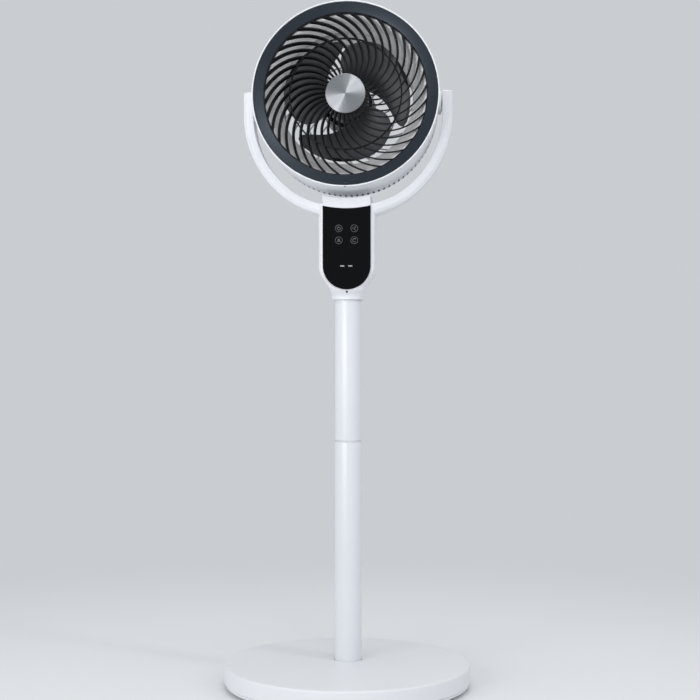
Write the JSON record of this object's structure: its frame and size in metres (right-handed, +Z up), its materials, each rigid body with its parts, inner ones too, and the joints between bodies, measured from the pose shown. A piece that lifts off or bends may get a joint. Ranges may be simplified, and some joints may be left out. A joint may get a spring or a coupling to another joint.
{
  "type": "air circulator fan",
  "caption": "Pedestal air circulator: round weighted base, two-piece column, swinging neck with touch panel, U yoke, tilting drum head with spiral grille.",
  "frame": {"origin": "on the floor under the centre of the round base", "axes": "+Z up along the column, -Y towards the front (the side the air leaves), +X to the right seen from the front"},
  "size_m": [0.34, 0.34, 0.939],
  "materials": {
    "white_abs": "fine satin moulded ABS",
    "white_tube": "powder coated steel tube",
    "cast_iron": "as cast",
    "zinc_steel": "zinc plated",
    "nylon": "natural nylon",
    "black_glass": "gloss black acrylic",
    "circuit_board": "solder mask",
    "black_plastic": "satin",
    "rubber": "matte",
    "dark_satin": "dark slate satin paint",
    "spun_aluminium": "spun, radial sheen",
    "laminated_steel": "laminated",
    "grey_blade": "moulded, satin"
  },
  "bodies": {
    "stand": {"base_shell": "white_abs", "base_tray": "white_abs", "base_weight": "cast_iron", "column_spigot": "zinc_steel", "column_bolt": "zinc_steel", "lower_tube": "white_tube", "tube_coupler": "white_abs", "upper_tube": "white_tube", "swing_spindle": "zinc_steel", "swing_gear": "nylon", "gear_screw": "zinc_steel", "foot_1": "rubber", "foot_2": "rubber", "foot_3": "rubber", "foot_4": "rubber", "foot_5": "rubber", "tray_screw_1": "zinc_steel", "tray_screw_2": "zinc_steel", "tray_screw_3": "zinc_steel"},
    "neck": {"front_housing": "white_abs", "rear_housing": "white_abs", "touch_panel": "black_glass", "control_board": "circuit_board", "digit_display": "black_glass", "sensor_window": "black_glass", "power_socket": "black_plastic", "thrust_washer": "nylon", "swing_carrier": "nylon", "swing_motor": "zinc_steel", "pivot_pin_left": "zinc_steel", "pivot_pin_right": "zinc_steel", "friction_washer_left": "nylon", "friction_washer_right": "nylon", "housing_screw_1": "zinc_steel", "housing_screw_2": "zinc_steel", "housing_screw_3": "zinc_steel", "housing_screw_4": "zinc_steel"},
    "swing_drive": {"swing_pinion": "nylon"},
    "head": {"drum_shell": "white_abs", "bezel_ring": "dark_satin", "front_grille": "dark_satin", "hub_cap": "spun_aluminium", "air_duct": "white_abs", "rear_grille": "white_abs", "bezel_screw": "zinc_steel", "motor_housing": "black_plastic", "motor_cover": "black_plastic", "motor_stator": "laminated_steel", "bearing_rear": "zinc_steel", "bearing_front": "zinc_steel", "rear_screw_1": "zinc_steel", "rear_screw_2": "zinc_steel", "rear_screw_3": "zinc_steel", "motor_screw_1": "zinc_steel", "motor_screw_2": "zinc_steel", "motor_screw_3": "zinc_steel"},
    "rotor": {"impeller": "grey_blade", "motor_shaft": "zinc_steel", "motor_rotor": "laminated_steel", "spinner_nut": "nylon"}
  },
  "joints": [
    {"name": "neck_swing", "type": "hinge", "parent": "stand", "child": "neck", "pos_m": [0, 0.02, 0.56], "axis": [0, 0, 1], "range_deg": [-45, 45]},
    {"name": "pinion_turn", "type": "hinge", "parent": "neck", "child": "swing_drive", "pos_m": [0.02, 0.02, 0.56], "axis": [0, 0, 1], "range_deg": [-110, 110]},
    {"name": "head_tilt", "type": "hinge", "parent": "neck", "child": "head", "pos_m": [0, 0.02, 0.808], "axis": [-1, 0, 0], "range_deg": [-10, 80]},
    {"name": "impeller_spin", "type": "hinge", "parent": "head", "child": "rotor", "pos_m": [0, 0.02, 0.808], "axis": [0, -0.9981, 0.061], "continuous": true}
  ],
  "couplings": [
    {"joint": "pinion_turn", "follows": "neck_swing", "ratio": 2.3333}
  ]
}
